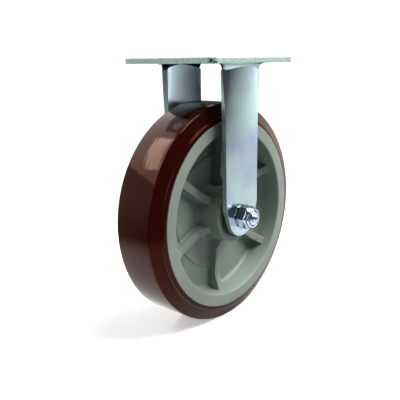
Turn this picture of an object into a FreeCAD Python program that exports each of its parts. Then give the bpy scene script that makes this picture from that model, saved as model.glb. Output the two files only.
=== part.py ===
import FreeCAD, Part
import math
import os
import re

import Sketcher

# Fixed castor: a flat top plate, two welded legs, and a ribbed wheel with a polyurethane tread
# on a roller bearing. The origin is the centre of the plate's top face, +Z is up, the wheel
# rolls along X, and the axle lies along Y with its nut on the -Y side. All lengths are in mm
# and all angles in degrees.

SIZES = {
    "plate_length": 114.3,
    "plate_width": 101.6,
    "plate_thickness": 4.8,
    "plate_corner": 6.0,
    "slot_inset_along": 15.1,
    "slot_inset_across": 15.1,
    "slot_width": 10.3,
    "slot_length": 18.3,
    "wheel_diameter": 203.2,
    "wheel_width": 50.8,
    "wheel_clearance": 33.3,
    "leg_width": 45.8,
    "leg_thickness": 4.76,
    "leg_bow": 3.6,
    "leg_bow_end": 14.0,
    "leg_flat_start": 22.0,
    "leg_taper_start": 10.0,
    "leg_end_radius": 18.4,
    "leg_corner_clip": 6.0,
    "leg_seat_radius": 19.0,
    "leg_seat_depth": 0.35,
    "weld_height": 5.5,
    "weld_outer_width": 7.5,
    "weld_inner_width": 5.5,
    "weld_hollow": 9.0,
    "weld_end_reach": 6.0,
    "axle_diameter": 12.7,
    "axle_clearance": 0.15,
    "axle_end_chamfer": 0.8,
    "axle_overhang": 0.8,
    "hex_wall": 3.175,
    "hex_chamfer_angle": 30.0,
    "head_height": 8.0,
    "nut_hex_height": 10.4,
    "insert_width": 1.55,
    "collar_height": 3.2,
    "collar_wall": 1.1,
    "collar_lip": 0.9,
    "grease_bore": 3.2,
    "fitting_thread": 6.0,
    "fitting_depth": 7.0,
    "fitting_reach": 3.2,
    "fitting_head": 6.4,
    "fitting_neck": 4.6,
    "fitting_tip": 3.0,
    "fitting_ball": 2.0,
    "fitting_lip": 0.4,
    "ball_clearance": 0.05,
    "bushing_clearance": 0.1,
    "bushing_wall": 3.075,
    "roller_diameter": 5.505,
    "roller_clearance": 0.025,
    "roller_inset": 5.0,
    "cage_wall": 3.4,
    "cage_clearance": 0.08,
    "cage_end_gap": 0.3,
    "washer_width": 10.375,
    "washer_thickness": 2.35,
    "washer_gap": 0.3,
    "hub_proud": 2.6,
    "hub_wall": 10.12,
    "hub_draft": 1.4,
    "hub_edge": 0.8,
    "tread_thickness": 14.2,
    "tread_bevel": 6.8,
    "tread_shoulder": 1.5,
    "tread_lip_width": 3.6,
    "tread_lip_drop": 1.4,
    "tread_lip_inset": 0.6,
    "tread_lip_step": 1.3,
    "tread_lip_draft": 0.5,
    "tread_key_width": 14.0,
    "tread_key_depth": 2.5,
    "rim_wall": 11.2,
    "rim_taper": 0.9,
    "rim_edge": 1.0,
    "web_thickness": 7.0,
    "web_disc_inset": 21.3,
    "web_disc_step": 0.6,
    "web_fillet": 4.0,
    "rib_thickness": 7.4,
    "rib_root": 2.0,
    "rib_hub_drop": 11.1,
    "rib_hub_slope": 11.4,
    "rib_low_rise": 6.8,
    "rib_rim_slope": 13.5,
    "rib_rim_drop": 8.9,
    "rib_angle": 24.5,
}
RIB_COUNT = 6
ROLLER_COUNT = 8

# Lengths that follow from the sizes. The bow of a leg is an arc whose centre lies beyond the
# wheel, so bow_rise is how much wider the leg is on its outer face than on its inner one.
DERIVED = {
    "wheel_radius": "wheel_diameter / 2",
    "axle_drop": "plate_thickness + wheel_clearance + wheel_radius",
    "slot_along": "plate_length / 2 - slot_inset_along",
    "slot_across": "plate_width / 2 - slot_inset_across",
    "rim_face": "wheel_width / 2",
    "hub_end": "rim_face + hub_proud",
    "leg_inside": "hub_end + washer_thickness + 2 * washer_gap",
    "leg_outside": "leg_inside + leg_thickness",
    "leg_half": "leg_width / 2",
    "leg_tip": "leg_end_radius / sin(atan(leg_taper_start / leg_half)"
               " - acos(leg_end_radius / sqrt(leg_half ^ 2 + leg_taper_start ^ 2)))",
    "bow_radius": "(leg_half ^ 2 + leg_bow ^ 2) / (2 * leg_bow)",
    "bow_centre": "leg_inside + leg_bow - bow_radius",
    "bow_rise": "(bow_radius + leg_thickness) / bow_radius",
    "axle_radius": "axle_diameter / 2",
    "nut_seat": "leg_outside - leg_seat_depth",
    "nut_shoulder": "nut_seat + nut_hex_height",
    "nut_end": "nut_shoulder + collar_height",
    "axle_end": "nut_end + axle_overhang",
    "hex_flat": "axle_radius + hex_wall",
    "hex_corner": "2 * hex_flat / sqrt(3)",
    "insert_radius": "axle_radius + insert_width",
    "collar_radius": "insert_radius + collar_wall",
    "fitting_end": "axle_end + fitting_reach",
    "ball_bore": "fitting_ball / 2 + ball_clearance",
    "bushing_bore": "axle_radius + bushing_clearance",
    "bushing_radius": "bushing_bore + bushing_wall",
    "roller_radius": "roller_diameter / 2",
    "roller_length": "2 * (hub_end - roller_inset)",
    "roller_orbit": "bushing_radius + roller_clearance + roller_radius",
    "bore_radius": "bushing_radius + roller_diameter + 2 * roller_clearance",
    "washer_bore": "bushing_radius + bushing_clearance",
    "hub_radius": "bore_radius + hub_wall",
    "rim_radius": "wheel_radius - tread_thickness",
    "mouth_radius": "rim_radius - rim_wall",
    "foot_radius": "mouth_radius - rim_taper",
    "web_face": "web_thickness / 2",
    "disc_face": "web_face + web_disc_step",
    "disc_radius": "foot_radius - web_disc_inset",
    "rim_slope": "rim_taper / (rim_face - web_face)",
    "hub_slope": "hub_draft / (hub_end - disc_face)",
    "key_half": "tread_key_width / 2",
    "key_floor": "rim_radius - tread_key_depth",
}


def make_sheet():
    cells = doc.addObject("Spreadsheet::Sheet", "Sizes")
    for row, (name, size) in enumerate(SIZES.items(), start=1):
        cells.set(f"A{row}", name)
        cells.set(f"B{row}", str(size))
        cells.setAlias(f"B{row}", name)
    doc.recompute()
    return cells


def bound(text):
    """An expression on the sheet, from words of SIZES and DERIVED."""
    def swap(match):
        word = match.group()
        if word in DERIVED:
            return f"({bound(DERIVED[word])})"
        return f"Sizes.{word}" if word in SIZES else word
    return re.sub(r"[a-z_]{3,}", swap, text)


def value(text):
    found = sheet.evalExpression(bound(text))
    return float(getattr(found, "Value", found))


class Profile:
    """A fully constrained sketch made of closed loops on one of a body's planes."""

    def __init__(self, body, name, plane, lift=None):
        self.sketch = body.newObject("Sketcher::SketchObject", name)
        planes = [f for f in body.Origin.OriginFeatures if f.Role == plane]
        self.sketch.AttachmentSupport = [(planes[0], "")]
        self.sketch.MapMode = "FlatFace"
        if lift:
            self.sketch.setExpression(".AttachmentOffset.Base.z", bound(lift))
        self.shapes = []
        self.rules = []
        self.ties = []

    def rule(self, kind, *places, size=None):
        if size is not None:
            self.ties.append((len(self.rules), bound(size)))
            places = (*places, value(size))
        self.rules.append(Sketcher.Constraint(kind, *places))

    def pin(self, shape, end, x, y):
        self.rule("DistanceX", -1, 1, shape, end, size=x)
        self.rule("DistanceY", -1, 1, shape, end, size=y)

    def add(self, shape):
        self.shapes.append(shape)
        return len(self.shapes) - 1

    def circle(self, x, y, radius):
        centre = FreeCAD.Vector(value(x), value(y), 0)
        shape = self.add(Part.Circle(centre, FreeCAD.Vector(0, 0, 1), value(radius)))
        self.pin(shape, 3, x, y)
        self.rule("Radius", shape, size=radius)

    def line(self, start, end):
        return self.add(Part.LineSegment(start, end)), (1, 2)

    def arc(self, start, end, radius, bend):
        """The shorter arc from start to end, turning left or right on its way."""
        half = (end - start) * 0.5
        side = FreeCAD.Vector(-half.y, half.x, 0).normalize()
        rise = max(radius ** 2 - half.Length ** 2, 0) ** 0.5
        centre = start + half + side * (rise if bend == "left" else -rise)
        circle = Part.Circle(centre, FreeCAD.Vector(0, 0, 1), radius)
        first, last = (start, end) if bend == "left" else (end, start)
        shape = self.add(Part.ArcOfCircle(circle, circle.parameter(first), circle.parameter(last)))
        return shape, (1, 2) if bend == "left" else (2, 1)

    def loop(self, corners):
        """Closed loop through corners (x, y). A corner can add a rounding radius, or the
        radius and the turn of an arc that leads from it to the next corner."""
        points = [FreeCAD.Vector(value(c[0]), value(c[1]), 0) for c in corners]
        after = points[1:] + points[:1]
        arrive, leave = list(points), list(points)
        for i, corner in enumerate(corners):
            if len(corner) == 3:
                back = (points[i - 1] - points[i]).normalize()
                ahead = (after[i] - points[i]).normalize()
                trim = value(corner[2]) / math.tan(back.getAngle(ahead) / 2)
                arrive[i] = points[i] + back * trim
                leave[i] = points[i] + ahead * trim
        edges = []
        for i, corner in enumerate(corners):
            end = arrive[(i + 1) % len(corners)]
            if len(corner) == 4:
                edges.append(self.arc(leave[i], end, value(corner[2]), corner[3]))
                self.rule("Radius", edges[-1][0], size=corner[2])
            else:
                edges.append(self.line(leave[i], end))
        for i, corner in enumerate(corners):
            (last, last_ends), (here, here_ends) = edges[i - 1], edges[i]
            if len(corner) == 3:
                self.round_corner(corner, points[i], arrive[i], leave[i], edges[i - 1], edges[i])
            else:
                self.rule("Coincident", last, last_ends[1], here, here_ends[0])
                self.pin(here, here_ends[0], corner[0], corner[1])

    def round_corner(self, corner, point, start, end, before, after):
        apex = self.add(Part.Point(point))
        self.pin(apex, 1, corner[0], corner[1])
        self.rule("PointOnObject", apex, 1, before[0])
        self.rule("PointOnObject", apex, 1, after[0])
        turn = (point - start).cross(end - point).z
        arc, ends = self.arc(start, end, value(corner[2]), "left" if turn > 0 else "right")
        self.rule("Tangent", before[0], before[1][1], arc, ends[0])
        self.rule("Tangent", arc, ends[1], after[0], after[1][0])
        self.rule("Radius", arc, size=corner[2])

    def done(self):
        self.sketch.addGeometry(self.shapes, False)
        for i, shape in enumerate(self.shapes):
            if isinstance(shape, Part.Point):
                self.sketch.toggleConstruction(i)
        self.sketch.addConstraint(self.rules)
        for index, text in self.ties:
            self.sketch.setExpression(f"Constraints[{index}]", text)
        return self.sketch


def new_body(label, x=None, y=None, z=None):
    body = doc.addObject("PartDesign::Body", label)
    for axis, place in (("x", x), ("y", y), ("z", z)):
        if place:
            body.setExpression(f".Placement.Base.{axis}", bound(place))
    return body


def turn_body(body, axis, angle):
    body.Placement.Rotation = FreeCAD.Rotation(axis, angle)


def revolve(body, name, profile, groove=False, angle=None):
    """Turn a profile of (radius, place along the axis) round the sketch's upright axis."""
    kind = "PartDesign::Groove" if groove else "PartDesign::Revolution"
    feature = body.newObject(kind, name)
    feature.Profile = profile
    feature.ReferenceAxis = (profile, ["V_Axis"])
    feature.Angle = 360
    if angle:
        feature.Midplane = True
        feature.setExpression("Angle", bound(angle))
    return feature


def pad(body, name, profile, length, both_sides=False, reverse=False):
    feature = body.newObject("PartDesign::Pad", name)
    feature.Profile = profile
    feature.setExpression("Length", bound(length))
    feature.Midplane = both_sides
    feature.Reversed = reverse
    return feature


def pocket(body, name, profile, depth=None, both_sides=False, reverse=False):
    feature = body.newObject("PartDesign::Pocket", name)
    feature.Profile = profile
    if depth:
        feature.setExpression("Length", bound(depth))
    else:
        feature.Type = "ThroughAll"
    feature.Midplane = both_sides
    feature.Reversed = reverse
    return feature


def repeat_round_axle(body, name, feature, count):
    turned = body.newObject("PartDesign::PolarPattern", name)
    turned.Originals = [feature]
    axis = [f for f in body.Origin.OriginFeatures if f.Role == "Y_Axis"]
    turned.Axis = (axis[0], [""])
    turned.Angle = 360
    turned.Occurrences = count
    body.Tip = turned
    return turned


def mirrored(corners):
    """Corners of the +Y half of a wheel section, followed by the same ones on the -Y half."""
    return corners + [(c[0], f"-({c[1]})", *c[2:]) for c in reversed(corners)]


def mounting_plate():
    body = new_body("mounting_plate")
    x, y, r = "plate_length / 2", "plate_width / 2", "plate_corner"
    outline = Profile(body, "PlateOutline", "XY_Plane")
    outline.loop([(f"-{x}", f"-{y}", r), (x, f"-{y}", r), (x, y, r), (f"-{x}", y, r)])
    pad(body, "Plate", outline.done(), "plate_thickness", reverse=True)
    slots = Profile(body, "SlotOutlines", "XY_Plane")
    for along in (-1, 1):
        for across in (-1, 1):
            add_slot(slots, f"{along} * slot_along", f"{across} * slot_across")
    pocket(body, "Slots", slots.done())
    return body


def add_slot(profile, x, y):
    reach = "(slot_length - slot_width) / 2"
    left, right = f"{x} - {reach}", f"{x} + {reach}"
    low, high = f"{y} - slot_width / 2", f"{y} + slot_width / 2"
    profile.loop([(left, low), (right, low, "slot_width / 2", "left"), (right, high),
                  (left, high, "slot_width / 2", "left")])


def leg(label, angle):
    """Pressed leg, drawn on the +Y side and turned to its own side by angle. Its web is
    bowed outwards at the weld, runs out flat above the axle and ends in a round."""
    body = new_body(label)
    turn_body(body, FreeCAD.Vector(0, 0, 1), angle)
    weld_end = bowed_section(body, "WeldSection", "-plate_thickness")
    pad(body, "WeldedEnd", weld_end, "leg_bow_end", reverse=True)
    upper = bowed_section(body, "BowSection", "-plate_thickness - leg_bow_end")
    flat = Profile(body, "FlatSection", "XY_Plane", lift="leg_flat_start - axle_drop")
    flat.loop([("-leg_half", "leg_inside"), ("leg_half", "leg_inside"),
               ("leg_half", "leg_outside"), ("-leg_half", "leg_outside")])
    lower = flat.done()
    loft = body.newObject("PartDesign::AdditiveLoft", "BowedWeb")
    loft.Profile = upper
    loft.Sections = [lower]
    loft.Ruled = True
    pad(body, "FlatEnd", lower, "leg_flat_start + leg_end_radius", reverse=True)
    trim_leg(body)
    drill_leg(body)
    return body


def bowed_section(body, name, lift):
    """Two arcs about one centre, joined by ends square to the sheet."""
    section = Profile(body, name, "XY_Plane", lift=lift)
    outer_x = "leg_half * bow_rise"
    outer_y = "bow_centre + (leg_inside - bow_centre) * bow_rise"
    section.loop([("-leg_half", "leg_inside", "bow_radius", "right"), ("leg_half", "leg_inside"),
                  (outer_x, outer_y, "bow_radius + leg_thickness", "left"),
                  (f"-{outer_x}", outer_y)])
    return section.done()


def trim_leg(body):
    """Taper and round the foot, and clip the two corners under the plate."""
    beyond, start = "(leg_half + leg_thickness)", "leg_taper_start - axle_drop"
    below = "-leg_end_radius - leg_thickness - axle_drop"
    foot = Profile(body, "FootTrim", "XZ_Plane")
    foot.loop([(f"-{beyond}", start), ("-leg_half", start),
               ("0", "leg_tip - axle_drop", "leg_end_radius"),
               ("leg_half", start), (beyond, start), (beyond, below), (f"-{beyond}", below)])
    pocket(body, "RoundedFoot", foot.done(), both_sides=True)
    edge, clip = "leg_half * bow_rise", "leg_corner_clip"
    clips = Profile(body, "CornerTrims", "XZ_Plane")
    for side in (-1, 1):
        outside = f"{side} * ({edge} + {clip})"
        clips.loop([(f"{side} * ({edge} - {clip})", "-plate_thickness"), (outside, "-plate_thickness"),
                    (outside, f"-plate_thickness - 2 * {clip}")])
    pocket(body, "ClippedCorners", clips.done(), both_sides=True)


def drill_leg(body):
    """Coin the nut's seat into the outer face and make the axle's hole."""
    seat = Profile(body, "SeatOutline", "XZ_Plane", lift="-nut_seat")
    seat.circle("0", "-axle_drop", "leg_seat_radius")
    pocket(body, "NutSeat", seat.done())
    hole = Profile(body, "AxleHoleOutline", "XZ_Plane")
    hole.circle("0", "-axle_drop", "axle_radius + axle_clearance")
    pocket(body, "AxleHole", hole.done(), both_sides=True)


def weld(label, side, angle, face, toe, half_length, shift):
    """Fillet bead with a hollow face, turned about the centre of the leg's bow from the
    face of the leg to its toe on the plate, and shifted along the leg where it is not central."""
    body = new_body(label, y=f"{side} * bow_centre", z="-plate_thickness")
    turn_body(body, FreeCAD.Vector(0, 0, 1), angle + value(f"asin({shift} / bow_radius)"))
    bend = "left" if value(toe) > value(face) else "right"
    bead = Profile(body, "BeadSection", "YZ_Plane")
    bead.loop([(face, "0"), (toe, "0", "weld_hollow", bend), (face, "-weld_height")])
    revolve(body, "Bead", bead.done(), angle=f"2 * asin({half_length} / bow_radius)")
    return body


def welds():
    outer, inner = "bow_radius + leg_thickness", "bow_radius"
    made = []
    for name, side, angle, reach in (("near", -1, 180, "weld_end_reach"), ("far", 1, 0, "0")):
        made.append(weld(f"{name}_outer_weld", side, angle, outer, f"{outer} + weld_outer_width",
                         "leg_half", "0"))
        made.append(weld(f"{name}_inner_weld", side, angle, inner, f"{inner} - weld_inner_width",
                         f"(leg_half - leg_corner_clip + {reach} / 2)", f"(-{reach} / 2)"))
    return made


def hexagon(body, name, lift):
    """Hexagon with two corners fore and aft, on a plane across the axle."""
    outline = Profile(body, name, "XZ_Plane", lift=lift)
    corner, half, flat = "hex_corner", "hex_corner / 2", "hex_flat"
    outline.loop([(corner, "0"), (half, flat), (f"-{half}", flat), (f"-{corner}", "0"),
                  (f"-{half}", f"-{flat}"), (half, f"-{flat}")])
    return outline.done()


def chamfer_hexagon(body, name, face, inward):
    """Turn the corners of a hexagon off to a cone that starts at the across-flats circle
    on its face and runs inward, the sense along Y in which the metal lies."""
    flat, beyond = "hex_flat", "(2 * hex_corner - hex_flat)"
    depth = f"({beyond} - {flat}) * tan(hex_chamfer_angle)"
    cone = Profile(body, name + "Section", "XY_Plane")
    cone.loop([(flat, face), (beyond, face), (beyond, f"{face} + {inward} * {depth}")])
    revolve(body, name, cone.done(), groove=True)


def axle_bolt():
    """Hex bolt with its head outside the far leg. A drilled passage leads grease from the
    fitting's seat in the threaded end to a cross hole at mid-length."""
    body = new_body("axle_bolt", z="-axle_drop")
    bore, seat = "grease_bore / 2", "fitting_thread / 2"
    seat_floor = "fitting_depth - axle_end"
    shank = Profile(body, "ShankSection", "XY_Plane")
    shank.loop([("0", "grease_bore"), ("0", "nut_seat"), ("axle_radius", "nut_seat"),
                ("axle_radius", "axle_end_chamfer - axle_end"),
                ("axle_radius - axle_end_chamfer", "-axle_end"), (seat, "-axle_end"),
                (seat, seat_floor), (bore, seat_floor), (bore, "grease_bore")])
    revolve(body, "Shank", shank.done())
    head = hexagon(body, "HeadOutline", "-nut_seat")
    pad(body, "Head", head, "head_height", reverse=True)
    chamfer_hexagon(body, "HeadChamfer", "nut_seat + head_height", "-1")
    add_cross_hole(body)
    return body


def add_cross_hole(body):
    hole = Profile(body, "CrossHoleOutline", "XY_Plane")
    hole.circle("0", "0", "grease_bore / 2")
    pocket(body, "CrossHole", hole.done(), both_sides=True)


def lock_nut():
    """Hex nut whose collar is rolled over the locking ring."""
    body = new_body("lock_nut", z="-axle_drop")
    pad(body, "Hexagon", hexagon(body, "NutOutline", "nut_seat"), "nut_hex_height")
    chamfer_hexagon(body, "SeatChamfer", "-nut_seat", "-1")
    chamfer_hexagon(body, "ShoulderChamfer", "-nut_shoulder", "1")
    hole = Profile(body, "ThreadOutline", "XZ_Plane")
    hole.circle("0", "0", "axle_radius")
    pocket(body, "Thread", hole.done(), both_sides=True)
    lip, lip_floor = "axle_radius + collar_lip", "collar_lip - nut_end"
    collar = Profile(body, "CollarSection", "XY_Plane")
    collar.loop([("insert_radius", "-nut_shoulder"), ("insert_radius", lip_floor), (lip, lip_floor),
                 (lip, "-nut_end"), ("insert_radius", "-nut_end"),
                 ("collar_radius", "collar_wall - nut_end"), ("collar_radius", "-nut_shoulder")])
    revolve(body, "Collar", collar.done())
    return body


def nut_insert():
    body = new_body("nut_insert", z="-axle_drop")
    ring = Profile(body, "RingSection", "XY_Plane")
    ring.loop([("axle_radius", "-nut_shoulder"), ("insert_radius", "-nut_shoulder"),
               ("insert_radius", "collar_lip - nut_end"), ("axle_radius", "collar_lip - nut_end")])
    revolve(body, "Ring", ring.done())
    return body


def grease_fitting():
    """Nipple with a waisted neck, screwed into the end of the bolt."""
    body = new_body("grease_fitting", z="-axle_drop")
    thread, neck, head = "fitting_thread / 2", "fitting_neck / 2", "fitting_head / 2"
    section = Profile(body, "NippleSection", "XY_Plane")
    section.loop([("ball_bore", "fitting_depth - axle_end"), (thread, "fitting_depth - axle_end"),
                  (thread, "-axle_end"), (head, "-axle_end"),
                  (head, "-axle_end - fitting_reach * 0.25"), (neck, "-axle_end - fitting_reach * 0.4"),
                  (head, "-axle_end - fitting_reach * 0.7"), ("fitting_tip / 2", "-fitting_end"),
                  ("ball_bore - fitting_lip", "-fitting_end"), ("ball_bore", "fitting_lip - fitting_end")])
    revolve(body, "Nipple", section.done())
    return body


def grease_fitting_ball():
    ball = doc.addObject("Part::Sphere", "grease_fitting_ball")
    ball.setExpression("Radius", bound("fitting_ball / 2"))
    ball.setExpression(".Placement.Base.y", bound("fitting_lip + ball_bore - fitting_end"))
    ball.setExpression(".Placement.Base.z", bound("-axle_drop"))
    return ball


def axle_bushing():
    """Tube clamped between the legs, with a cross hole for the grease."""
    body = new_body("axle_bushing", z="-axle_drop")
    section = Profile(body, "TubeSection", "XY_Plane")
    section.loop([("bushing_bore", "-leg_inside"), ("bushing_radius", "-leg_inside"),
                  ("bushing_radius", "leg_inside"), ("bushing_bore", "leg_inside")])
    revolve(body, "Tube", section.done())
    add_cross_hole(body)
    return body


def thrust_washer(label, side):
    body = new_body(label, z="-axle_drop")
    bore, rim = "washer_bore", "washer_bore + washer_width"
    inner, outer = f"{side} * (hub_end + washer_gap)", f"{side} * (leg_inside - washer_gap)"
    section = Profile(body, "WasherSection", "XY_Plane")
    section.loop([(bore, inner), (rim, inner), (rim, outer), (bore, outer)])
    revolve(body, "Washer", section.done())
    return body


def bearing_cage():
    """Tube that keeps the rollers apart, open to both sides at each roller."""
    body = new_body("bearing_cage", z="-axle_drop")
    inner, outer = "roller_orbit - cage_wall / 2", "roller_orbit + cage_wall / 2"
    end = "(hub_end - cage_end_gap)"
    section = Profile(body, "CageSection", "XY_Plane")
    section.loop([(inner, f"-{end}"), (outer, f"-{end}"), (outer, end), (inner, end)])
    revolve(body, "CageTube", section.done())
    window = Profile(body, "WindowOutline", "XZ_Plane")
    window.circle("roller_orbit", "0", "roller_radius + cage_clearance")
    cut = pocket(body, "Window", window.done(), "roller_length + 2 * cage_end_gap", both_sides=True)
    repeat_round_axle(body, "Windows", cut, ROLLER_COUNT)
    return body


def bearing_roller(index):
    roller = doc.addObject("Part::Cylinder", f"bearing_roller_{index + 1}")
    angle = 360 / ROLLER_COUNT * index
    roller.Placement.Rotation = FreeCAD.Rotation(FreeCAD.Vector(1, 0, 0), -90)
    roller.setExpression("Radius", bound("roller_radius"))
    roller.setExpression("Height", bound("roller_length"))
    roller.setExpression(".Placement.Base.x", bound(f"roller_orbit * cos({angle})"))
    roller.setExpression(".Placement.Base.y", bound("-roller_length / 2"))
    roller.setExpression(".Placement.Base.z", bound(f"roller_orbit * sin({angle}) - axle_drop"))
    return roller


def tread():
    """Flat running band, bevelled shoulders and a narrow lip that stands a step proud of the
    bevel beside the core's rim. A key inside sits in the core's groove."""
    body = new_body("tread", z="-axle_drop")
    half = [("key_floor", "key_half"), ("rim_radius", "key_half"),
            ("rim_radius", "rim_face - tread_lip_inset"),
            ("rim_radius + tread_lip_width", "rim_face - tread_lip_drop"),
            ("rim_radius + tread_lip_width + tread_lip_draft",
             "rim_face - tread_lip_drop - tread_lip_step"),
            ("wheel_radius", "rim_face - tread_bevel", "tread_shoulder")]
    section = Profile(body, "TreadSection", "XY_Plane")
    section.loop(mirrored(half))
    revolve(body, "TreadRing", section.done())
    return body


def wheel_core():
    """Moulded core: hub, thin web with a raised disc, dished rim and six ribs a side."""
    body = new_body("wheel_core", z="-axle_drop")
    turn_body(body, FreeCAD.Vector(0, 1, 0), -value("rib_angle"))
    half = [("bore_radius", "hub_end"), ("hub_radius - hub_edge", "hub_end"),
            ("hub_radius", "hub_end - hub_edge"),
            ("hub_radius + hub_draft", "disc_face", "web_fillet"),
            ("disc_radius", "disc_face"), ("disc_radius", "web_face"),
            ("foot_radius", "web_face", "web_fillet"),
            ("mouth_radius - rim_edge * rim_slope", "rim_face - rim_edge"),
            ("mouth_radius + rim_edge", "rim_face"),
            ("rim_radius", "rim_face"), ("rim_radius", "key_half"), ("key_floor", "key_half")]
    section = Profile(body, "CoreSection", "XY_Plane")
    section.loop(mirrored(half))
    revolve(body, "CoreDisc", section.done())
    at_hub, low, at_rim = "hub_end - rib_hub_drop", "web_face + rib_low_rise", "rim_face - rib_rim_drop"
    hub_side = "hub_radius + rib_hub_drop * hub_slope"
    rim_side = "mouth_radius - rib_rim_drop * rim_slope"
    rib_half = [(f"{hub_side} - rib_root", at_hub), (hub_side, at_hub),
                ("hub_radius + rib_hub_slope", low), ("foot_radius - rib_rim_slope", low),
                (rim_side, at_rim), (f"{rim_side} + rib_root", at_rim)]
    rib_outline = Profile(body, "RibOutline", "XY_Plane")
    rib_outline.loop(mirrored(rib_half))
    rib = pad(body, "Rib", rib_outline.done(), "rib_thickness", both_sides=True)
    repeat_round_axle(body, "Ribs", rib, RIB_COUNT)
    return body


def check_and_export(pieces):
    doc.recompute()
    for item in doc.Objects:
        if "Invalid" in item.State or "Error" in item.State:
            raise RuntimeError(f"{item.Label} did not build: {item.State}")
    os.makedirs("parts", exist_ok=True)
    for piece in pieces:
        shape = piece.Shape
        if shape.isNull() or not shape.isValid() or len(shape.Solids) != 1:
            raise RuntimeError(f"{piece.Label} is not one sound solid")
    for piece in pieces:
        piece.Shape.exportStep(f"parts/{piece.Label}.step")
        print(f"{piece.Label}: {piece.Shape.Volume / 1000:.2f} cm3")


doc = FreeCAD.newDocument("fixed_castor")
sheet = make_sheet()
assembly = [mounting_plate(), leg("near_leg", 180), leg("far_leg", 0), *welds(),
            axle_bolt(), lock_nut(), nut_insert(), grease_fitting(), grease_fitting_ball(),
            axle_bushing(), thrust_washer("near_thrust_washer", -1),
            thrust_washer("far_thrust_washer", 1), bearing_cage(),
            *[bearing_roller(index) for index in range(ROLLER_COUNT)], tread(), wheel_core()]
check_and_export(assembly)
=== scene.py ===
# %% [markdown]
# # A fixed castor, from plain solids to a portrait
# The castor has a flat slotted plate, two bowed legs welded under it, and a grey moulded core
# with a maroon polyurethane tread that turns on a roller bearing. The CAD solids come in as a
# fixed frame: each one keeps its place, and what is made here either gives a solid its finish
# or takes its place with a finer mesh of the same size.

# %% Load the frame
import math

import bmesh
import bpy
from mathutils import Matrix, Quaternion, Vector, noise


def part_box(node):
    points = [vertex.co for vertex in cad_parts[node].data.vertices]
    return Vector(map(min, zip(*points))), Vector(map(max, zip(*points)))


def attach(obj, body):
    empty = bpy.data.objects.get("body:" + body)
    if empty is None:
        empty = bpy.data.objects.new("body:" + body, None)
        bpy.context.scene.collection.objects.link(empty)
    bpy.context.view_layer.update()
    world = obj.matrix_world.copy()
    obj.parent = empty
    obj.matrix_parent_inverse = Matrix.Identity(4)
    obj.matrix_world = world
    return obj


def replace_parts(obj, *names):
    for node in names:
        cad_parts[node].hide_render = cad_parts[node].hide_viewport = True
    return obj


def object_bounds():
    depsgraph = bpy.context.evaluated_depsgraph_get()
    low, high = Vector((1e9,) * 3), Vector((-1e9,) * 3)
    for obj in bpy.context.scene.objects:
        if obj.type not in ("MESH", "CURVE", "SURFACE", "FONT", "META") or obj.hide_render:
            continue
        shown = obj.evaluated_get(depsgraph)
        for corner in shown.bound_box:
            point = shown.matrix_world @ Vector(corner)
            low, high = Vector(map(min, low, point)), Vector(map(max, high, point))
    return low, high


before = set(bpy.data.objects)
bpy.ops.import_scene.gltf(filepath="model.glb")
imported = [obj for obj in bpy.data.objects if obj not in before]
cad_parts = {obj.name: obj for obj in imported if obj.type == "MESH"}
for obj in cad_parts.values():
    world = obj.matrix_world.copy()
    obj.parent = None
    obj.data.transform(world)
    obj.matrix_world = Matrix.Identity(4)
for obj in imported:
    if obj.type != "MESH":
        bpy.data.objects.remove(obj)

MM = 0.001
cad_low, cad_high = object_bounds()
axle_z = (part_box("tread")[0].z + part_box("tread")[1].z) / 2
print("CAD box", [round(v / MM, 1) for v in (*cad_low, *cad_high)], "axle", round(axle_z / MM, 1))

# %% [markdown]
# ## The camera
# The photograph was taken from the left front, a little above the axle, so that the plate is
# seen edge on. Turning a fitted view into a camera takes three directions: back towards the
# camera, right and up. A small roll and a small shift come from the fit as well. A camera could
# also be aimed by eye, but a fitted one puts every edge within a pixel or two of its place.

# %% Place the camera
azimuth, elevation, roll = (math.radians(a) for a in (-50.697, 15.9, -0.672))
distance, aside, below_axle = 0.52763, 0.0058, 0.00579
back = Vector((math.sin(azimuth) * math.cos(elevation), -math.cos(azimuth) * math.cos(elevation),
               math.sin(elevation)))
right = Vector((math.cos(azimuth), math.sin(azimuth), 0))
up = back.cross(right)
across = math.cos(roll) * right + math.sin(roll) * up
upward = math.cos(roll) * up - math.sin(roll) * right
camera_data = bpy.data.cameras.new("portrait_camera")
camera_data.lens = 49.67
camera_data.sensor_width = 36
camera_data.shift_x, camera_data.shift_y = -0.0458, 0.0389
camera_data.clip_start, camera_data.clip_end = 0.01, 60
camera = bpy.data.objects.new("portrait_camera", camera_data)
camera.location = back * distance + right * aside + Vector((0, 0, axle_z - below_axle))
camera.rotation_euler = Matrix((across, upward, back)).transposed().to_euler()
bpy.context.scene.collection.objects.link(camera)
bpy.context.scene.camera = camera
print("camera at", [round(v / MM) for v in camera.location], "mm")

# %% [markdown]
# ## Shader shorthand
# A material in Blender is a small network of nodes. Adding nodes one by one in code is wordy, so
# one function adds a node and feeds its sockets: with another node's output, which is joined, or
# with a plain value, which is set. A few more give sums, mixes, soft steps and noise in one word
# each, and the last ones open a new material and close it by joining the shader's inputs.

# %% Helpers for shader nodes
def feed(tree, socket, value):
    """Join a socket to another node's output, or set it to a plain value."""
    if isinstance(value, bpy.types.NodeSocket):
        tree.links.new(value, socket)
    else:
        socket.default_value = value


def node(tree, kind, sockets=None, **settings):
    """Add a shader node with these settings, and feed its sockets."""
    made = tree.nodes.new("ShaderNode" + kind)
    for key, value in settings.items():
        setattr(made, key, value)
    for key, value in (sockets or {}).items():
        feed(tree, made.inputs[key], value)
    return made


def maths(tree, operation, a, b=0.0, clamp=False):
    return node(tree, "Math", {0: a, 1: b}, operation=operation, use_clamp=clamp).outputs[0]


def plus(tree, a, b):
    return maths(tree, "ADD", a, b)


def minus(tree, a, b):
    return maths(tree, "SUBTRACT", a, b)


def times(tree, a, b):
    return maths(tree, "MULTIPLY", a, b)


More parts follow.
